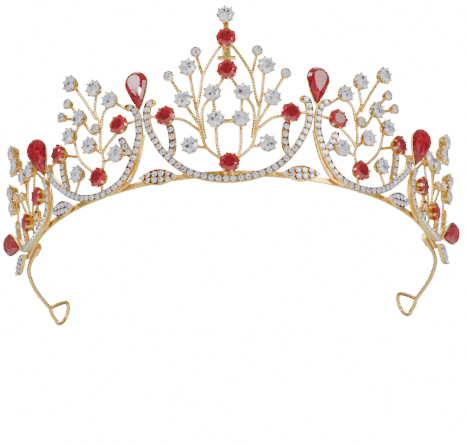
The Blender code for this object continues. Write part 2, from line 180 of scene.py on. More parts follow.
class Shape:
    """Closed bodies that become one piece. Each face has a painted light level from 0, dark, to 1, light:
    painted shade on gold, painted reflections on stones.
    """

    def __init__(self):
        self.places = []
        self.faces = []
        self.painted_lights = []

    def add(self, places, faces, painted_lights):
        first = len(self.places)
        self.places += places
        self.faces += [tuple(first + i for i in face) for face in faces]
        self.painted_lights += painted_lights if isinstance(painted_lights, list) else [painted_lights] * len(faces)

    def add_rings(self, rings, tone=1.0):
        """Joins rings of equal length, with a cap at each end. The painted light level may be a list with one
        level per join.
        """
        count = len(rings[0])
        faces = []
        painted_lights = []
        for row in range(len(rings) - 1):
            low, high = row * count, (row + 1) * count
            for i in range(count):
                j = (i + 1) % count
                faces.append((low + i, low + j, high + j, high + i))
                painted_lights.append(tone[row] if isinstance(tone, list) else tone)
        faces.append(tuple(reversed(range(count))))
        faces.append(tuple(range(len(rings) * count - count, len(rings) * count)))
        painted_lights += [painted_lights[0], painted_lights[-1]]
        self.add([place for ring in rings for place in ring], faces, painted_lights)

    def piece(self, name, material, slot, body, replaced=(), sharp=40.0):
        """The finished piece, shaded smooth where its faces meet at less than sharp degrees."""
        mesh = bpy.data.meshes.new(name)
        mesh.from_pydata(self.places, [], self.faces)
        # Each face's painted light level (painted shade on gold, painted reflections on stones) goes into a
        # face attribute.
        mesh.attributes.new("tone", "FLOAT", "FACE").data.foreach_set("value", self.painted_lights)
        work = bmesh.new()
        work.from_mesh(mesh)
        bmesh.ops.recalc_face_normals(work, faces=work.faces)
        work.to_mesh(mesh)
        work.free()
        mesh.materials.append(material)
        if sharp:
            mesh.shade_smooth()
            mesh.set_sharp_from_angle(angle=math.radians(sharp))
        made = bpy.data.objects.new(name, mesh)
        bpy.context.collection.objects.link(made)
        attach(made, body)
        if replaced:
            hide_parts(*replaced)
        return made


# Materials.


class Nodes:
    """A short way to write a material's nodes."""

    def __init__(self, name):
        self.material = bpy.data.materials.new(name)
        self.material.use_nodes = True
        self.tree = self.material.node_tree
        self.shader = self.tree.nodes["Principled BSDF"]

    def add(self, kind, links=(), **settings):
        node = self.tree.nodes.new(kind)
        for key, value in settings.items():
            setattr(node, key, value)
        for socket, source in dict(links).items():
            if isinstance(source, bpy.types.NodeSocket):
                self.tree.links.new(source, node.inputs[socket])
            else:
                node.inputs[socket].default_value = source
        return node

    def ramp(self, source, stops):
        node = self.add("ShaderNodeValToRGB", {"Fac": source})
        elements = node.color_ramp.elements
        while len(elements) < len(stops):
            elements.new(0.5)
        for element, (place, colour) in zip(elements, stops):
            element.position = place
            element.color = (*colour, 1.0)
        return node.outputs["Color"]

    def noise(self, scale, detail=3.0):
        place = self.add("ShaderNodeTexCoord").outputs["Object"]
        made = self.add("ShaderNodeTexNoise", {"Vector": place, "Scale": scale, "Detail": detail})
        return made.outputs["Fac"]

    def bump(self, height, strength, distance):
        links = {"Height": height, "Strength": strength, "Distance": distance}
        self.into("Normal", self.add("ShaderNodeBump", links).outputs["Normal"])

    # The face attribute of painted light: painted shade on gold, painted reflections on stones.
    def tone(self):
        return self.add("ShaderNodeAttribute", attribute_name="tone").outputs["Fac"]

    def mapped(self, source, low, high):
        links = {"Value": source, "From Min": 0.3, "From Max": 0.7, "To Min": low, "To Max": high}
        return self.add("ShaderNodeMapRange", links).outputs["Result"]

    def into(self, socket, source):
        if isinstance(source, bpy.types.NodeSocket):
            self.tree.links.new(source, self.shader.inputs[socket])
        else:
            self.shader.inputs[socket].default_value = source


def gold_material():
    """Bright gold plating on a cast alloy: slightly uneven, with painted shade that makes it duller and
    browner in its recesses.
    """
    made = Nodes("gilt_casting")
    light = made.ramp(made.noise(260.0), [(0.3, (0.96, 0.56, 0.07)), (0.7, (1.0, 0.71, 0.17))])
    # Painted shade: faces marked darker in channels, cup mouths and rims are multiplied towards brown.
    painted_recess_shade = made.ramp(
        made.tone(),
        [(0.0, (0.16, 0.10, 0.04)), (0.45, (0.55, 0.36, 0.14)), (0.9, (1.0, 1.0, 1.0))],
    )
    mix = made.add("ShaderNodeMix", data_type="RGBA", blend_type="MULTIPLY")
    mix.inputs["Factor"].default_value = 1.0
    made.tree.links.new(light, mix.inputs[6])
    made.tree.links.new(painted_recess_shade, mix.inputs[7])
    made.into("Base Color", mix.outputs[2])
    made.into("Metallic", 1.0)
    made.into("Roughness", made.mapped(made.noise(900.0), 0.16, 0.34))
    made.bump(made.noise(2600.0, 2.0), 0.25, 0.00006)
    return made.material


def stone_material(name, stops, metallic, roughness, coat):
    """A foiled glass stone with painted reflections: the light and dark levels of its facets stand for what
    the foil throws back through them.
    """
    made = Nodes(name)
    colour = made.ramp(made.tone(), stops)
    made.into("Base Color", colour)
    made.into("Metallic", metallic)
    made.into("Roughness", made.mapped(made.noise(1400.0, 2.0), roughness * 0.7, roughness * 1.5))
    made.into("IOR", 1.6)
    made.into("Coat Weight", coat)
    made.into("Coat Roughness", 0.02)
    made.into("Coat IOR", 1.6)
    made.bump(made.noise(700.0, 1.0), 0.08, 0.00005)
    return made.material


GOLD = gold_material()
# The stone ramps run from the darkest to the lightest painted reflection of a facet.
RUBY = stone_material(
    "red_foiled_glass",
    [
        (0.0, (0.02, 0.0, 0.002)),
        (0.45, (0.19, 0.0, 0.006)),
        (0.8, (0.38, 0.0, 0.012)),
        (1.0, (0.52, 0.0, 0.05)),
    ],
    0.0,
    0.06,
    0.15,
)
CRYSTAL = stone_material(
    "clear_foiled_glass",
    [
        (0.0, (0.03, 0.03, 0.05)),
        (0.3, (0.20, 0.20, 0.28)),
        (0.6, (0.70, 0.70, 0.84)),
        (1.0, (1.0, 1.0, 1.0)),
    ],
    0.3,
    0.04,
    1.0,
)


# Parts of a panel.


def stone_frame(s, h):
    """The origin and the directions across, up and outward where a setting stands."""
    normal = outward(s)
    across = Vector((0, 0, 1)).cross(normal).normalized()
    return surface(s, h), across, normal.cross(across), normal


def at(place, radius, turn, n):
    origin, across, up, normal = place
    return origin + (across * math.cos(turn) * radius + up * math.sin(turn) * radius + normal * n) * MM


def ring_at(place, radius, n, count, start=0.0):
    return [at(place, radius, start + TAU * k / count, n) for k in range(count)]


def add_lathe(shape, place, profile, count, tone=1.0):
    """A turned body from (radius, n) pairs."""
    shape.add_rings([ring_at(place, radius, n, count) for radius, n in profile], tone)


def add_bead(shape, centre, radius, tone=1.0):
    """A small round bead."""
    rings = []
    for k in range(1, 5):
        lift = math.cos(math.pi * k / 5) * radius * MM
        reach = math.sin(math.pi * k / 5) * radius * MM
        rings.append(
            [
                centre + Vector((reach * math.cos(TAU * i / 6), reach * math.sin(TAU * i / 6), lift))
                for i in range(6)
            ]
        )
    shape.add_rings(rings, tone)


def add_brilliant(shape, place, radius, girdle, table, painted_lights, count=8, table_share=0.56):
    """A round cut stone: its table is split into the star of its pavilion, with kites and small facets round
    it, and each facet gets a painted reflection level.
    """
    turn = TAU / count
    start = LIKE_STONES.uniform(0, turn)
    mid = girdle + (table - girdle) * 0.55
    places = [at(place, 0.0, 0.0, table)]
    places += [at(place, radius * table_share, start + turn * k / 2, table) for k in range(2 * count)]
    places += [at(place, radius * 0.8, start + turn * (k + 0.5), mid) for k in range(count)]
    places += [at(place, radius, start + turn * k / 2, girdle) for k in range(2 * count)]
    places += [at(place, radius, start + turn * k / 2, girdle - 0.12 * radius) for k in range(2 * count)]
    places.append(at(place, 0.0, 0.0, girdle - 0.7 * radius))
    rim = 1
    middle = rim + 2 * count
    edge = middle + count
    foot = edge + 2 * count
    point = foot + 2 * count
    faces = []
    shades = []
    for k in range(2 * count):
        j = (k + 1) % (2 * count)
        faces.append((0, rim + k, rim + j))
        shades.append(painted_lights["table"]())
        faces.append((edge + k, foot + k, foot + j, edge + j))
        shades.append(painted_lights["edge"]())
        faces.append((foot + j, foot + k, point))
        shades.append(painted_lights["edge"]())
    for k in range(count):
        before = (k - 1) % count
        here, half, next_corner = 2 * k, 2 * k + 1, (2 * k + 2) % (2 * count)
        faces.append((rim + here, middle + k, rim + half))
        faces.append((rim + half, middle + k, rim + next_corner))
        shades += [painted_lights["star"]()] * 2
        faces.append((rim + here, middle + before, edge + here, middle + k))
        shades.append(painted_lights["kite"]())
        faces.append((middle + k, edge + here, edge + half))
        shades.append(painted_lights["edge"]())
        faces.append((middle + k, edge + half, edge + next_corner))
        shades.append(painted_lights["edge"]())
    shape.add(places, faces, shades)


def between(low, high):
    return lambda: LIKE_STONES.uniform(low, high)


def one_of(*values):
    return lambda: LIKE_STONES.choice(values) + LIKE_STONES.uniform(-0.05, 0.05)


# Painted reflections: for each kind of facet, the light level it gets, chosen at random per facet.
RED_PAINTED_REFLECTIONS = {
    "table": one_of(0.3, 0.45, 0.5, 0.6),
    "star": between(0.45, 0.8),
    "kite": between(0.7, 0.98),
    "edge": between(0.25, 0.7),
}
CLEAR_PAINTED_REFLECTIONS = {
    "table": one_of(0.1, 0.35, 0.6, 0.95, 0.95),
    "star": between(0.4, 1.0),
    "kite": between(0.5, 1.0),
    "edge": one_of(0.15, 0.5, 0.9),
}
PAVE_PAINTED_REFLECTIONS = {
    "table": one_of(0.2, 0.6, 0.95, 0.95),
    "star": between(0.5, 1.0),
    "kite": between(0.55, 1.0),
    "edge": between(0.15, 0.7),
}


def add_claw(shape, place, turn, route, width, thickness):
    """A claw that follows (radius, n) places at one angle, narrower towards its tip."""
    rings = []
    for k, (radius, n) in enumerate(route):
        before = route[max(k - 1, 0)]
        after = route[min(k + 1, len(route) - 1)]
        run = Vector((after[0] - before[0], after[1] - before[1])).normalized()
        narrow = 1.0 - 0.35 * k / (len(route) - 1)
        half = width / 2 * narrow
        deep = thickness / 2 * narrow
        corners = []
        for across, out in ((-1, -1), (1, -1), (1, 1), (-1, 1)):
            reach = radius + out * deep * run.y
            rise = n - out * deep * run.x
            corners.append(at(place, reach, turn + across * half / max(radius, 0.6), rise))
        rings.append(corners)
    shape.add_rings(rings)


def add_claw_setting(gold, stones, s, h, kind, painted_lights):
    """A cone cup with a gallery wire and claws, and the stone that they hold."""
    place = stone_frame(s, h)
    cup = kind["cup"]
    height = kind["height"]
    foot = cup * 0.66
    reach = kind["reach"]
    girdle = kind["girdle"]
    wall = [(foot, 0.02), (foot * 1.04, 0.5), (cup * 0.86, height * 0.55), (cup * 0.98, height)]
    wall.append((cup * 0.5, height))
    # Painted shade: the cup wall darkens upward, darkest on its top ring under the stone.
    add_lathe(gold, place, wall, 20, [0.9, 0.85, 0.6, 0.2])
    gallery = [(cup * 0.86, height * 0.42), (cup * 0.98, height * 0.5), (cup * 0.86, height * 0.6)]
    add_lathe(gold, place, gallery, 24)
    start = LIKE_STONES.uniform(0, TAU)
    for k in range(kind["claws"]):
        turn = start + TAU * k / kind["claws"]
        if kind is RED:
            route = [(foot, 0.3), (cup * 0.95, 1.6), (reach, girdle), (reach - 0.05, girdle + 0.3)]
            route.append((reach - 0.5, girdle + 0.62))
            add_claw(gold, place, turn, route, 1.0, 0.5)
        else:
            route = [(foot, 0.3), (cup * 0.95, 1.5), (reach - 0.12, girdle - 0.3), (reach, girdle)]
            add_claw(gold, place, turn, route, 0.95, 0.5)
            add_bead(gold, at(place, reach - 0.05, turn, girdle + 0.12), 0.4)
    add_brilliant(stones, place, kind["stone"], kind["girdle"], kind["table"], painted_lights)


def add_bezel_setting(gold, stones, s, h):
    """A small stone in a plain rubbed-over cup."""
    place = stone_frame(s, h)
    profile = [(1.2, 0.02), (1.35, 0.5), (1.8, 1.7), (1.92, 2.1), (1.86, 2.32), (1.66, 2.3)]
    profile += [(1.5, 2.0), (1.2, 1.5)]
    # Painted shade on the inner faces of the cup's mouth.
    add_lathe(gold, place, profile, 24, [0.9, 1.0, 1.0, 1.0, 1.0, 0.5, 0.2])
    for k in range(4):
        add_bead(gold, at(place, 1.72, TAU * (k + 0.5) / 4, 2.34), 0.26)
    add_brilliant(stones, place, BEZEL["stone"], BEZEL["girdle"], BEZEL["table"], CLEAR_PAINTED_REFLECTIONS)


def line_frames(line):
    """For each (s, h) of a line: its place at n = 0 and the directions along, across and outward."""
    places = [surface(s, h) for s, h in line]
    found = []
    for i, (s, h) in enumerate(line):
        ahead = places[min(i + 1, len(line) - 1)]
        behind = places[max(i - 1, 0)]
        along = (ahead - behind).normalized()
        normal = outward(s)
        across = along.cross(normal).normalized()
        found.append((places[i], along, across, normal))
    return found


CHANNEL_PROFILE = [
    (-1.0, 0.0), (-1.25, 0.25), (-1.25, 1.45), (-1.19, 1.66), (-1.08, 1.66), (-1.02, 1.45), (-0.98, 1.0),
    (0.98, 1.0), (1.02, 1.45), (1.08, 1.66), (1.19, 1.66), (1.25, 1.45), (1.25, 0.25), (1.0, 0.0),
]
# The trough's inner walls and floor, which get painted shade.
CHANNEL_PAINTED_SHADE = {5, 6, 7}


def add_channel(gold, line):
    """A trough with thin raised rims and round ends."""
    frames = line_frames(spaced(line, 0.45))
    count = len(CHANNEL_PROFILE)
    places = []
    for place, along, across, normal in frames:
        to_end = min((place - frames[0][0]).length, (place - frames[-1][0]).length) / MM
        inset = max(1.0 - to_end / CHANNEL_HALF, 0.0)
        width = max(math.sqrt(1.0 - inset**2), 0.35)
        places += [place + (across * u * width + normal * n) * MM for u, n in CHANNEL_PROFILE]
    faces = []
    painted_lights = []
    for row in range(len(frames) - 1):
        low, high = row * count, (row + 1) * count
        for i in range(count):
            j = (i + 1) % count
            faces.append((low + i, low + j, high + j, high + i))
            # Painted shade on the trough's inner walls and floor.
            painted_lights.append(0.3 if i in CHANNEL_PAINTED_SHADE else 1.0)
    faces.append(tuple(reversed(range(count))))
    faces.append(tuple(range(len(places) - count, len(places))))
    painted_lights += [1.0, 1.0]
    gold.add(places, faces, painted_lights)


def add_pave(gold, stones, line, trim=0.9):
    """Small stones set along a channel, with pairs of tiny beads between them."""
    ends = spaced(line, trim)
    places = spaced(ends[1:-1], PAVE_PITCH, whole=True)
    for k, (s, h) in enumerate(places):
        add_brilliant(stones, stone_frame(s, h), PAVE_STONE, PAVE_GIRDLE, PAVE_TABLE, PAVE_PAINTED_REFLECTIONS, 6, 0.6)
        if k:
            before = places[k - 1]
            middle = ((s + before[0]) / 2, (h + before[1]) / 2)
            run = Vector((s - before[0], h - before[1])).normalized()
            for edge in (-1, 1):
                bead = surface(middle[0] - edge * run.y * 0.93, middle[1] + edge * run.x * 0.93, 1.6)
                add_bead(gold, bead, PAVE_BEAD)


def add_stem(gold, line, width, twisted):
    """A cast stem that looks like twisted wire, or a plain flat one."""
    frames = line_frames(spaced(line, TWIST_STEP if twisted else 0.5))
    half = width / 2
    rings = []
    for k, (place, along, across, normal) in enumerate(frames):
        ring = []
        for i in range(10):
            turn = TAU * i / 10
            twist = TAU * k * TWIST_STEP / TWIST_PITCH
            swell = 1.0 + TWIST_SWELL * math.cos(twist + 2 * turn) if twisted else 1.0
            flat = abs(math.cos(turn)) ** 0.6 * math.copysign(1, math.cos(turn))
            u = half * (math.cos(turn) if twisted else flat) * swell
            n = STEM_MIDDLE + 0.5 * math.sin(turn) * swell
            ring.append(place + (across * u + normal * n) * MM)
        rings.append(ring)
    gold.add_rings(rings)


# The panels. Each is drawn on +s; its stones are (kind, s, h) and its stems are lines of (s, h).

CENTRE_CHANNEL = [(22.3, 29.9), (24.5, 29.4), (25.4, 26.6), (25.4, 23.4), (24.3, 19.0), (20.3, 11.3)]
CENTRE_CHANNEL += [(14.0, 5.0), (7.0, 1.9), (0.0, 1.0)]
CENTRE_MIDDLE = {"top": (CLEAR, 57.3), "upper": (RED, 49.0), "middle": (RED, 37.7), "bottom": (RED, 5.9)}
CENTRE_SIDE = {
    "side": (RED, 18.9, 23.7),
    "pair_upper": (CLEAR, 4.5, 29.9),
    "pair_lower": (CLEAR, 3.8, 20.8),
    "shoulder_upper": (CLEAR, 11.5, 39.5),
    "shoulder_lower": (CLEAR, 13.3, 28.5),
    "foot": (CLEAR, 11.8, 12.6),
}
CENTRE_BEZELS = [(9.0, 44.9), (17.5, 37.6)]
CENTRE_BRANCH = [(19.6, 10.0), (17.8, 12.6), (17.7, 17.6), (18.4, 21.5)]
CENTRE_STEMS = [
    [(0.8, 48.0), (2.4, 46.0), (5.1, 41.5), (7.4, 36.5), (8.3, 31.0), (9.4, 26.0)],
    [(11.3, 39.0), (10.5, 31.0), (9.4, 23.5), (8.5, 17.0), (6.6, 11.6), (1.5, 7.0)],
    [(9.0, 44.0), (7.5, 37.5)],
    [(17.0, 36.5), (13.8, 30.0)],
    [(5.0, 29.5), (7.6, 25.8), (8.0, 21.0), (7.2, 15.0)],
    [(3.9, 20.0), (3.6, 12.0), (2.3, 7.0)],
    [(18.0, 23.5), (13.5, 22.0), (8.8, 17.8)],
    [(13.0, 27.5), (9.3, 20.5)],
    [(11.0, 12.8), (6.8, 11.9)],
    [(0.5, 37.0), (4.2, 30.5)],
    [(4.5, 29.5), (3.8, 21.2)],
    [(19.5, 24.0), (25.0, 25.5)],
]
CENTRE_MIDDLE_STEMS = [
    (2.2, [(0.0, 57.0), (0.0, 49.5)]),
    (3.0, [(0.0, 48.5), (0.0, 38.0)]),
    (1.6, [(-2.8, 42.8), (2.8, 42.8)]),
    (1.6, [(-3.5, 20.8), (3.5, 20.8)]),
    (2.2, [(0.0, 5.5), (0.0, 1.5)]),
]

FLANK = {
    "channel": [
        (32.6, 30.0), (30.2, 29.5), (28.6, 26.4), (28.3, 22.0), (28.6, 18.5), (31.2, 11.4),
        (36.3, 5.0), (45.0, 2.9), (54.2, 5.4), (62.0, 11.8), (66.6, 17.6), (67.6, 23.0),
    ],
    "ribbon": [(27.0, 19.5), (28.2, 14.6), (29.6, 10.5), (31.6, 6.6), (34.0, 4.0), (38.0, 2.6)],
    "reds": {"inner": (34.3, 24.2), "outer": (59.4, 22.8), "bottom": (43.4, 8.5)},
    "clears": [
        (51.2, 45.2), (42.2, 39.8), (36.8, 33.8), (48.9, 31.7), (53.8, 27.0), (45.9, 20.6),
        (36.3, 14.6), (52.1, 12.7),
    ],
    "bezels": [(53.7, 39.0), (57.0, 35.4), (43.3, 25.9)],
    "posts": [(67.2, 21.5)],
    "branches": [
        [(34.9, 20.5), (33.9, 17.6), (31.5, 12.8)],
        [(59.6, 21.0), (59.9, 17.0), (58.8, 9.5)],
    ],
    "stems": [
        [(43.4, 9.5), (42.2, 14.5), (42.9, 20.0), (42.3, 27.5), (43.8, 32.5), (42.5, 39.0)],
        [(51.0, 44.5), (47.0, 37.0), (43.8, 30.0)],
        [(37.2, 33.0), (40.5, 31.0), (42.0, 26.0)],
        [(48.9, 31.0), (46.2, 26.0), (44.0, 24.5)],
        [(53.7, 38.5), (49.5, 32.5)],
        [(56.5, 35.0), (49.2, 31.4)],
        [(48.9, 32.0), (53.6, 27.2)],
        [(53.8, 26.5), (52.0, 18.5), (48.0, 13.3), (44.0, 9.5)],
        [(59.0, 22.5), (55.0, 20.6), (52.3, 19.4)],
        [(45.8, 20.2), (42.8, 17.5)],
        [(34.8, 23.5), (40.8, 19.0), (42.6, 16.5)],
        [(36.8, 14.8), (42.3, 14.0)],
        [(52.0, 12.5), (56.0, 6.5)],
        [(43.4, 8.0), (44.0, 3.5)],
        [(37.0, 34.0), (32.6, 30.2)],
        [(34.3, 24.5), (28.8, 25.0)],
        [(59.5, 22.5), (67.2, 21.5)],
        [(36.0, 14.4), (30.2, 14.0)],
    ],
}

OUTER = {
    "channel": [
        (71.8, 19.6), (70.3, 17.2), (69.8, 13.0), (71.2, 8.2), (75.0, 4.6), (82.0, 3.0),
        (90.0, 3.1), (97.0, 4.4), (102.3, 8.0), (104.5, 13.0), (104.0, 18.6),
    ],
    "ribbon": [(68.5, 14.5), (68.3, 11.5), (69.0, 8.0), (71.5, 4.4), (75.5, 2.4)],
    "reds": {"inner": (74.2, 13.9), "bottom": (86.0, 9.5)},
    "clears": [(93.0, 40.0), (91.0, 34.3), (84.0, 26.2), (77.5, 25.5), (101.0, 28.5), (101.5, 22.6)],
    "bezels": [(98.5, 35.4), (89.8, 21.4), (97.0, 24.6)],
    "posts": [],
    "branches": [
        [(78.9, 11.0), (78.8, 8.0), (80.0, 3.6)],
        [(94.0, 14.0), (94.4, 10.0), (93.2, 4.4)],
    ],
    "stems": [
        [(86.0, 9.0), (87.5, 15.0), (87.2, 24.0), (89.5, 31.0), (92.6, 39.5)],
        [(91.0, 34.0), (93.0, 39.5)],
        [(84.2, 25.8), (87.4, 20.5)],
        [(77.8, 25.0), (80.5, 19.0), (85.4, 10.3)],
        [(77.5, 25.5), (72.2, 19.2)],
        [(98.2, 35.0), (91.5, 34.5)],
        [(89.8, 21.0), (87.5, 16.0)],
        [(100.8, 28.2), (96.9, 24.8), (92.0, 17.0), (86.5, 10.0)],
        [(101.2, 22.4), (97.2, 24.4)],
        [(101.5, 22.5), (103.8, 18.4)],
        [(73.9, 13.5), (79.0, 12.6), (85.5, 9.4)],
        [(86.0, 9.0), (85.5, 4.0)],
        [(74.0, 14.0), (70.6, 14.5)],
        [(94.0, 13.6), (89.5, 12.5), (87.0, 10.4)],
        [(78.9, 10.6), (79.0, 13.2)],
    ],
}

# The teardrops: where the tip is, how far the axis leans toward +s and tips outward, and how far the face
# turns to the front about that axis, in degrees.
DROPS = {
    "front": {"tip": (27.0, 27.8, 1.5), "lean": 3.0, "tilt": 0.0, "roll": 0.0},
    "flank": {"tip": (65.6, 17.6, 3.6), "lean": 5.0, "tilt": 9.0, "roll": 20.0},
    "rear": {"tip": (93.1, 3.1, 2.8), "lean": 59.0, "tilt": 7.0, "roll": 0.0},
}

# The leaves: the middle, the length, and how steeply its axis climbs toward +s.
LEAVES = {
    "front": {"middle": (23.0, 4.0), "length": 13.4, "slope": 6.0},
    "flank": {"middle": (62.8, 4.6), "length": 11.6, "slope": 9.0},
    "rear": {"middle": (108.5, 3.4), "length": 19.0, "slope": 0.0},
}


def build_panel(label, channels, stems, reds, clears, bezels, posts, replaced):
    """One panel as four pieces: gold, pave stones, clear stones and red stones."""
    gold, pave, clear, red = Shape(), Shape(), Shape(), Shape()
    for line in channels:
        add_channel(gold, line)
        add_pave(gold, pave, line)
    for width, line, twisted in stems:
        add_stem(gold, line, width, twisted)
    for s, h in reds:
        add_claw_setting(gold, red, s, h, RED, RED_PAINTED_REFLECTIONS)
    for s, h in clears:
        add_claw_setting(gold, clear, s, h, CLEAR, CLEAR_PAINTED_REFLECTIONS)
    for s, h in bezels:
        add_bezel_setting(gold, clear, s, h)
    for s, h in posts:
        add_lathe(gold, stone_frame(s, h), POST_PROFILE, 16)
    gold.piece(f"{label}_gold", GOLD, "gold_plate", "crown", replaced["gold"])
    pave.piece(f"{label}_pave", CRYSTAL, "clear_stone", "crown", replaced["pave"], sharp=0)
    clear.piece(f"{label}_clear_stones", CRYSTAL, "clear_stone", "crown", replaced["clear"], sharp=0)
    red.piece(f"{label}_red_stones", RUBY, "red_stone", "crown", replaced["red"], sharp=0)


def build_centre():
    half = CENTRE_CHANNEL
    channels = [half + mirrored(half[-2::-1], -1)]
    stems = [(width, line, False) for width, line in CENTRE_MIDDLE_STEMS]
    reds = [(0.0, h) for kind, h in CENTRE_MIDDLE.values() if kind is RED]
    clears = [(0.0, h) for kind, h in CENTRE_MIDDLE.values() if kind is CLEAR]
    bezels = []
    replaced = {"gold": ["centre_panel_casting"], "pave": ["centre_pave_row"], "clear": [], "red": []}
    for place, (kind, h) in CENTRE_MIDDLE.items():
        replaced["red" if kind is RED else "clear"].append(f"centre_{place}_stone")
    for name, side in SIDES.items():
        channels.append(mirrored(CENTRE_BRANCH, side))
        stems += [(STEM_WIDTH, mirrored(line, side), True) for line in CENTRE_STEMS]
        bezels += mirrored(CENTRE_BEZELS, side)
        for place, (kind, s, h) in CENTRE_SIDE.items():
            (reds if kind is RED else clears).append((side * s, h))
            replaced["red" if kind is RED else "clear"].append(f"centre_{place}_stone_{name}")
    build_panel("centre", channels, stems, reds, clears, bezels, [], replaced)


def build_side_panel(label, name, side, design):
    channels = [mirrored(line, side) for line in [design["channel"], *design["branches"]]]
    stems = [(STEM_WIDTH, mirrored(line, side), True) for line in design["stems"]]
    stems.append((STEM_WIDTH, mirrored(design["ribbon"], side), False))
    replaced = {
        "gold": [f"{label}_panel_casting_{name}"],
        "pave": [f"{label}_pave_row_{name}"],
        "clear": [],
        "red": [f"{label}_{place}_red_stone_{name}" for place in design["reds"]],
    }
    reds = mirrored(design["reds"].values(), side)
    clears = mirrored(design["clears"], side)
    bezels = mirrored(design["bezels"], side)
    posts = mirrored(design["posts"], side)
    build_panel(f"{label}_{name}", channels, stems, reds, clears, bezels, posts, replaced)


# Teardrops, leaves, band and arms.


def drop_outline(offset, steps):
    """The teardrop's outline grown by offset, from its tip near (0, 0) round its round end."""
    radius = DROP_RADIUS + offset
    centre = DROP_LENGTH - DROP_RADIUS
    half_tip = math.asin(DROP_RADIUS / centre)
    tip = -offset / math.sin(half_tip)
    flank = []
    corner = (radius * math.cos(half_tip), centre - radius * math.sin(half_tip))
    sides = steps // 3
    for step in range(sides):
        t = step / sides
        bulge = 0.35 * math.sin(math.pi * t)
        flank.append((corner[0] * t + bulge, tip + (corner[1] - tip) * t))
    arc = []
    count = steps - sides
    for step in range(count + 1):
        turn = -half_tip + (math.pi / 2 + half_tip) * step / count
        arc.append((radius * math.cos(turn), centre + radius * math.sin(turn)))
    half = flank + arc
    return half + [(-u, v) for u, v in half[-2:0:-1]]


def drop_frame(side, tip, lean, tilt, roll):
    """The origin of a teardrop and its axes: across, up to the round end, and outward."""
    s, h, n = tip
    origin = surface(side * s, h, n)
    up = (surface(side * s, h + 1.0, n) - origin).normalized()
    along = (surface(side * (s + 0.1), h, n) - origin).normalized()
    normal = outward(side * s)
    lean, tilt, roll = math.radians(lean), math.radians(tilt), math.radians(roll)
    axis = up * math.cos(lean) + along * math.sin(lean)
    axis = (axis * math.cos(tilt) + normal * math.sin(tilt)).normalized()
    normal = (normal - axis * normal.dot(axis)).normalized()
    normal = (normal * math.cos(roll) - axis.cross(normal) * side * math.sin(roll)).normalized()
    return origin, axis.cross(normal), axis, normal


def drop_ring(place, offset, rise, steps=9):
    origin, across, axis, normal = place
    return [origin + (across * u + axis * v + normal * rise) * MM for u, v in drop_outline(offset, steps)]


def build_drop(label, name, side, tip, lean, tilt, roll):
    place = drop_frame(side, tip, lean, tilt, roll)
    cup = Shape()
    profile = [(-0.9, 0.0), (-0.2, 0.12), (0.2, 0.7), (0.32, 1.2), (0.34, 1.5), (0.28, 1.62), (0.18, 1.64)]
    profile += [(0.1, 1.58), (0.06, 1.3), (-0.3, 0.75)]
    # Painted shade on the inner faces of the rim.
    painted_lights = [1.0] * 7 + [0.4, 0.2]
    cup.add_rings([drop_ring(place, offset, rise, 15) for offset, rise in profile], painted_lights)
    cup.piece(f"{label}_drop_rim_{name}", GOLD, "gold_plate", "crown", [f"{label}_drop_cup_{name}"])
    stone = Shape()
    origin, across, axis, normal = place
    low = drop_ring(place, -0.6, 1.0)
    rings = [low, drop_ring(place, 0.0, 1.45), drop_ring(place, 0.04, 1.95)]
    rings += [drop_ring(place, -0.75, 2.8), drop_ring(place, -1.6, 3.3)]
    count = len(low)
    places = [p for ring in rings for p in ring]
    places.append(origin + (axis * (DROP_LENGTH - DROP_RADIUS - 0.6) + normal * 3.3) * MM)
    middle = len(places) - 1
    # Painted reflections: each facet of the teardrop gets a light level, its base and girdle darkest.
    faces = [tuple(reversed(range(count)))]
    painted_lights = [0.2]
    for row in range(4):
        for i in range(count):
            j = (i + 1) % count
            a, b, c, d = row * count + i, row * count + j, (row + 1) * count + j, (row + 1) * count + i
            if row < 2:
                faces.append((a, b, c, d))
                painted_lights.append(LIKE_STONES.uniform(0.2, 0.5))
            elif i % 2 == row % 2:
                faces += [(a, b, c), (a, c, d)]
                painted_lights += [LIKE_STONES.uniform(0.55, 0.95), LIKE_STONES.uniform(0.3, 0.6)]
            else:
                faces += [(a, b, d), (b, c, d)]
                painted_lights += [LIKE_STONES.uniform(0.3, 0.6), LIKE_STONES.uniform(0.6, 1.0)]
    for i in range(count):
        faces.append((4 * count + i, 4 * count + (i + 1) % count, middle))
        painted_lights.append(LIKE_STONES.choice((0.4, 0.55, 0.7, 0.85)))
    stone.add(places, faces, painted_lights)
    stone.piece(
        f"{label}_drop_gem_{name}", RUBY, "red_stone", "crown", [f"{label}_drop_stone_{name}"], sharp=0
    )


def leaf_place(side, middle, slope, along, across, n):
    climb = math.radians(slope)
    s = middle[0] + along * math.cos(climb) - across * math.sin(climb)
    h = middle[1] + along * math.sin(climb) + across * math.cos(climb)
    return surface(side * s, h, n), side * s, h


def leaf_ring(side, middle, slope, length, width, n):
    ring = []
    for edge in (-1, 1):
        for step in range(14):
            t = step / 14
            along = length * (t - 0.5) * -edge
            across = edge * width / 2 * math.sin(math.pi * t) ** 0.9
            ring.append(leaf_place(side, middle, slope, along, across, n)[0])
    return ring


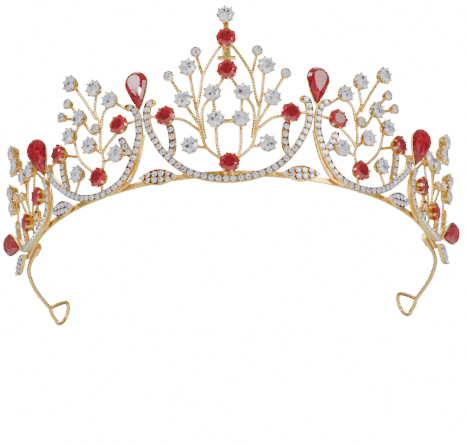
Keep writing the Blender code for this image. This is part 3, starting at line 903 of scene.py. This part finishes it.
def build_leaf(label, name, side, middle, length, slope):
    """A pave leaf: a plate with a thin rim, single stones at its tips and pairs between them."""
    gold, stones = Shape(), Shape()
    profile = [(-0.5, 0.0), (0.0, 0.3), (0.0, 1.4), (-0.12, 1.62), (-0.36, 1.62), (-0.5, 1.4), (-0.6, 1.0)]
    rings = [leaf_ring(side, middle, slope, length + 2 * grow, 5.4 + grow, n) for grow, n in profile]
    # Painted shade on the inner faces of the rim.
    gold.add_rings(rings, [1.0, 1.0, 1.0, 1.0, 0.7, 0.3])
    pitch = length / 5.9
    spots = [(-2.35 * pitch, 0.0, 0.85), (2.35 * pitch, 0.0, 0.85)]
    for k in range(4):
        along = (k - 1.5) * pitch * 0.98
        size = 1.02 if k in (1, 2) else 0.92
        spots += [(along, size + 0.03, size), (along, -size - 0.03, size)]
    for along, across, size in spots:
        place, s, h = leaf_place(side, middle, slope, along, across, 0.0)
        add_brilliant(stones, stone_frame(s, h), size, 1.5, 1.98, PAVE_PAINTED_REFLECTIONS, 6, 0.6)
    gold.piece(f"{label}_leaf_gold_{name}", GOLD, "gold_plate", "crown", [f"{label}_leaf_{name}"])
    stones.piece(f"{label}_leaf_stones_{name}", CRYSTAL, "clear_stone", "crown", sharp=0)


def build_band():
    """The flat base band, with softened edges and rounded ends."""
    steps = 150
    gold = Shape()
    profile = [(-0.85, -1.3), (-1.0, -1.15), (-1.0, -0.45), (-0.85, -0.3), (0.85, -0.3), (1.0, -0.45)]
    profile += [(1.0, -1.15), (0.85, -1.3)]
    rings = []
    for k in range(steps + 1):
        s = BAND_END * (2 * k / steps - 1)
        _, _, across, normal = line_frames([(s - 0.5, BAND_MIDDLE), (s + 0.5, BAND_MIDDLE)])[0]
        place = surface(s, BAND_MIDDLE)
        inset = max(1.0 - (BAND_END - abs(s)) / 1.0, 0.0)
        width = max(math.sqrt(1.0 - inset**2), 0.4)
        rings.append([place + (across * u * width + normal * n) * MM for u, n in profile])
    gold.add_rings(rings)
    gold.piece("base_band_gold", GOLD, "gold_plate", "crown", ["base_band"])


def add_tube(shape, places, radius, sides):
    """A round wire along places in metres."""
    rings = []
    up = Vector((0, 0, 1))
    for i, place in enumerate(places):
        ahead = places[min(i + 1, len(places) - 1)]
        behind = places[max(i - 1, 0)]
        along = (ahead - behind).normalized()
        across = along.cross(up).normalized()
        up = across.cross(along).normalized()
        turns = [TAU * k / sides for k in range(sides)]
        rings.append([place + (across * math.cos(t) + up * math.sin(t)) * radius * MM for t in turns])
    shape.add_rings(rings)


def build_socket(name, side):
    """The sleeve behind the band's end that holds the wire arm."""
    gold = Shape()
    line = [(side * (SOCKET_START + (SOCKET_END - SOCKET_START) * k / 10), SOCKET_MIDDLE) for k in range(11)]
    rings = []
    for k, (place, along, across, normal) in enumerate(line_frames(line)):
        end = 0.82 if k in (0, 10) else 1.0
        ring = []
        for i in range(16):
            turn = TAU * i / 16
            u = 1.5 * end * abs(math.cos(turn)) ** 0.7 * math.copysign(1, math.cos(turn))
            n = SOCKET_DEPTH + 1.08 * end * abs(math.sin(turn)) ** 0.7 * math.copysign(1, math.sin(turn))
            ring.append(place + (across * u + normal * n) * MM)
        rings.append(ring)
    gold.add_rings(rings)
    gold.piece(f"socket_gold_{name}", GOLD, "gold_plate", "crown", [f"arm_socket_{name}"])


def arm_places(side):
    """The middle line of a wire arm with its closed, drop-shaped eyelet, in metres."""
    root = surface(SOCKET_END + 0.3, SOCKET_MIDDLE, SOCKET_DEPTH) / MM
    route = [(root.x, root.y - HOOP_SHIFT), *ARM_ROUTE, ARM_END]
    places = [Vector((x, y + HOOP_SHIFT, WIRE_RISE)) for x, y in curve_through(route, 8)]
    end = places[-1]
    along = (end - places[-2]).normalized()
    up = Vector((-math.sin(EYELET_LEAN), 0.0, math.cos(EYELET_LEAN)))
    rise = WIRE_TO_EYELET * EYELET_RADIUS
    centre = end + along * EYELET_LENGTH + up * rise
    reach = math.hypot(EYELET_LENGTH, rise)
    open_half = math.acos(EYELET_RADIUS / reach)
    steps = 40
    arc = 2 * (math.pi - open_half)
    ring = []
    for i in range(steps + 1):
        turn = arc * (i / steps - 0.5)
        ring.append(centre + (along * math.cos(turn) + up * math.sin(turn)) * EYELET_RADIUS)
    out = end - ring[0]
    back = end - ring[-1]
    bulge = up * EYELET_BULGE
    for k in range(1, 6):
        places.append(end - out * (k / 6) - bulge * math.sin(math.pi * k / 6))
    places += ring
    for k in range(1, 6):
        places.append(ring[-1] + back * (k / 5) * (1 - 1.1 / back.length) + bulge * math.sin(math.pi * k / 6))
    return [Vector((side * p.x, p.y, p.z)) * MM for p in places]


def build_arm(name, side):
    gold = Shape()
    places = arm_places(side)
    add_tube(gold, places, WIRE_RADIUS, 14)
    gold.piece(f"arm_wire_{name}", GOLD, "gold_plate", f"{name}_arm", [f"wire_arm_{name}"], sharp=50)


def build_tiara():
    build_band()
    build_centre()
    for name, side in SIDES.items():
        build_side_panel("flank", name, side, FLANK)
        build_side_panel("outer", name, side, OUTER)
        for label, drop in DROPS.items():
            build_drop(label, name, side, **drop)
        for label, leaf in LEAVES.items():
            build_leaf(label, name, side, **leaf)
        build_socket(name, side)
        build_arm(name, side)


# The floor, the light and the camera.


def build_stage():
    mesh = bpy.data.meshes.new("floor")
    mesh.from_pydata([(-3, -3, 0), (3, -3, 0), (3, 3, 0), (-3, 3, 0)], [], [(0, 1, 2, 3)])
    floor = bpy.data.objects.new("floor", mesh)
    floor.location = (0, 0, -0.27)
    bpy.context.collection.objects.link(floor)
    paper = Nodes("pale_paper")
    shades = [(0.0, (0.80, 0.80, 0.80)), (1.0, (0.84, 0.84, 0.84))]
    paper.into("Base Color", paper.ramp(paper.noise(3.0), shades))
    paper.into("Roughness", 0.9)
    paper.into("Emission Color", (1.0, 0.99, 0.97, 1.0))
    paper.into("Emission Strength", 0.45)
    mesh.materials.append(paper.material)


def area_light(name, place, target, size, power):
    data = bpy.data.lights.new(name, "AREA")
    data.shape = "DISK"
    data.size = size
    data.energy = power
    made = bpy.data.objects.new(name, data)
    made.location = place
    made.rotation_euler = (Vector(target) - Vector(place)).to_track_quat("-Z", "Y").to_euler()
    bpy.context.collection.objects.link(made)


def build_light():
    """A pale surround that is darker below and white behind the tiara, with four round softboxes."""
    world = bpy.data.worlds.new("studio")
    bpy.context.scene.world = world
    world.use_nodes = True
    tree = world.node_tree
    background = tree.nodes["Background"]
    place = tree.nodes.new("ShaderNodeTexCoord")
    split = tree.nodes.new("ShaderNodeSeparateXYZ")
    tree.links.new(place.outputs["Generated"], split.inputs[0])
    ramp = tree.nodes.new("ShaderNodeValToRGB")
    scale = tree.nodes.new("ShaderNodeMapRange")
    scale.inputs["From Min"].default_value = -1.0
    tree.links.new(split.outputs["Z"], scale.inputs["Value"])
    tree.links.new(scale.outputs["Result"], ramp.inputs["Fac"])
    stops = ramp.color_ramp.elements
    stops[0].position, stops[0].color = 0.3, (0.05, 0.05, 0.05, 1)
    stops[1].position, stops[1].color = 0.75, (0.5, 0.5, 0.5, 1)
    white = tree.nodes.new("ShaderNodeMix")
    white.data_type = "RGBA"
    rays = tree.nodes.new("ShaderNodeLightPath")
    tree.links.new(rays.outputs["Is Camera Ray"], white.inputs["Factor"])
    tree.links.new(ramp.outputs["Color"], white.inputs[6])
    white.inputs[7].default_value = (16.0, 16.0, 16.0, 1.0)
    tree.links.new(white.outputs[2], background.inputs["Color"])
    background.inputs["Strength"].default_value = 1.0
    area_light("key", (-0.45, -0.55, 0.35), (0, 0, 0.02), 0.30, 3.6)
    area_light("fill", (0.5, -0.5, 0.05), (0, 0, 0.02), 0.35, 2.0)
    area_light("above", (0.0, 0.1, 0.7), (0, 0, 0.02), 0.5, 2.5)
    area_light("sparkle", (0.12, -0.7, -0.05), (0, 0, 0.02), 0.06, 0.8)


def build_camera():
    data = bpy.data.cameras.new("camera")
    data.sensor_width = 36.0
    data.lens = 115.6
    data.shift_x = 0.0054
    data.clip_start = 0.01
    made = bpy.data.objects.new("camera", data)
    turn = Matrix.Rotation(math.radians(116.0), 4, "X") @ Matrix.Rotation(math.radians(-1.5), 4, "Z")
    made.matrix_world = Matrix.Translation((0.0, -0.4783, -0.2202)) @ turn
    bpy.context.collection.objects.link(made)
    bpy.context.scene.camera = made


build_tiara()
build_stage()
build_light()
build_camera()
